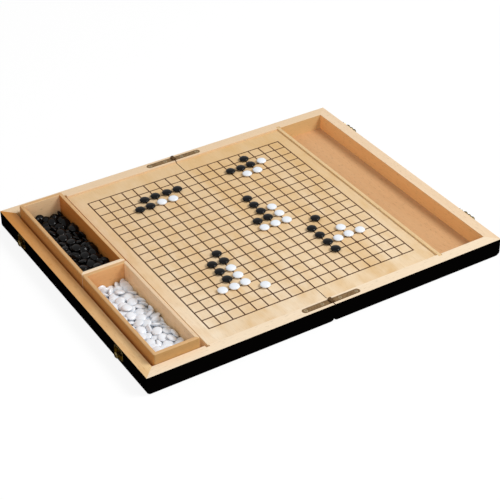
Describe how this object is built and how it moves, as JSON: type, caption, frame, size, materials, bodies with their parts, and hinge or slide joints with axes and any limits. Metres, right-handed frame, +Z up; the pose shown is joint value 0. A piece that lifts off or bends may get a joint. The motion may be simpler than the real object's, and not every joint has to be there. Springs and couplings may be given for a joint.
{
  "type": "folding go board case",
  "caption": "Folding wooden go board that closes into a case with two hooks; its tray holds two loose open stone boxes and it is laid with stones.",
  "frame": {"origin": "on the table, under the middle of the fold of the open case", "axes": "+X along the open case towards the half with the empty tray, +Y to the back, +Z up"},
  "size_m": [0.4886, 0.373, 0.037],
  "materials": {
    "case_rail": "natural satin lacquer inside and on the rim, black gloss lacquer on the outside faces",
    "playing_panel": "pale veneer under satin lacquer, printed grid",
    "tray_floor": "plain plywood above, black gloss lacquer below",
    "box_wood": "satin lacquer",
    "brass": "aged, satin",
    "steel_screw": "brass-plated, worn",
    "black_stone": "gloss",
    "white_stone": "gloss"
  },
  "bodies": {
    "left_half": {"left_front_rail": "case_rail", "left_back_rail": "case_rail", "left_end_rail": "case_rail", "left_fold_rail": "case_rail", "left_base_panel": "tray_floor", "left_playing_panel": "playing_panel", "left_panel_support": "case_rail", "left_front_hinge_leaf": "brass", "left_back_hinge_leaf": "brass", "left_hinge_screws": "steel_screw", "front_hinge_pin": "brass", "back_hinge_pin": "brass", "front_catch_plate": "brass", "front_catch_knob": "brass", "back_catch_plate": "brass", "back_catch_knob": "brass"},
    "right_half": {"right_front_rail": "case_rail", "right_back_rail": "case_rail", "right_end_rail": "case_rail", "right_fold_rail": "case_rail", "right_base_panel": "tray_floor", "right_playing_panel": "playing_panel", "right_panel_support": "case_rail", "right_tray_strip": "case_rail", "right_front_hinge_leaf": "brass", "right_back_hinge_leaf": "brass", "right_hinge_screws": "steel_screw", "front_hook_screw": "brass", "back_hook_screw": "brass"},
    "front_hook": {"front_hook": "brass"},
    "back_hook": {"back_hook": "brass"},
    "black_box": {"black_box_front_wall": "box_wood", "black_box_back_wall": "box_wood", "black_box_left_wall": "box_wood", "black_box_right_wall": "box_wood", "black_box_bottom": "box_wood", "black_box_stone_bed": "black_stone", "black_box_stones": "black_stone"},
    "white_box": {"white_box_front_wall": "box_wood", "white_box_back_wall": "box_wood", "white_box_left_wall": "box_wood", "white_box_right_wall": "box_wood", "white_box_bottom": "box_wood", "white_box_stone_bed": "white_stone", "white_box_stones": "white_stone"},
    "left_play_stones": {"black_stones_left_half": "black_stone", "white_stones_left_half": "white_stone"},
    "right_play_stones": {"black_stones_right_half": "black_stone", "white_stones_right_half": "white_stone"}
  },
  "joints": [
    {"name": "fold", "type": "hinge", "parent": "left_half", "child": "right_half", "pos_m": [0, 0, 0.0243], "axis": [0, 1, 0], "range_deg": [-180, 0]},
    {"name": "front_hook_turn", "type": "hinge", "parent": "right_half", "child": "front_hook", "pos_m": [0.2413, -0.124, 0.0194], "axis": [-1, 0, 0], "range_deg": [-90, 60]},
    {"name": "back_hook_turn", "type": "hinge", "parent": "right_half", "child": "back_hook", "pos_m": [0.2413, 0.124, 0.0194], "axis": [-1, 0, 0], "range_deg": [-90, 60]},
    {"name": "black_box_lift", "type": "slide", "parent": "left_half", "child": "black_box", "axis": [0, 0, 1], "range_m": [0, 0.06]},
    {"name": "white_box_lift", "type": "slide", "parent": "left_half", "child": "white_box", "axis": [0, 0, 1], "range_m": [0, 0.06]},
    {"name": "left_stones_lift", "type": "slide", "parent": "left_half", "child": "left_play_stones", "axis": [0, 0, 1], "range_m": [0, 0.04]},
    {"name": "right_stones_shift", "type": "slide", "parent": "right_half", "child": "right_play_stones", "axis": [0.8851, 0.4654, 0], "range_m": [0, 0.0351]}
  ],
  "couplings": [
    {"joint": "right_stones_shift", "follows": "fold", "m_per_rad": -0.011149}
  ]
}
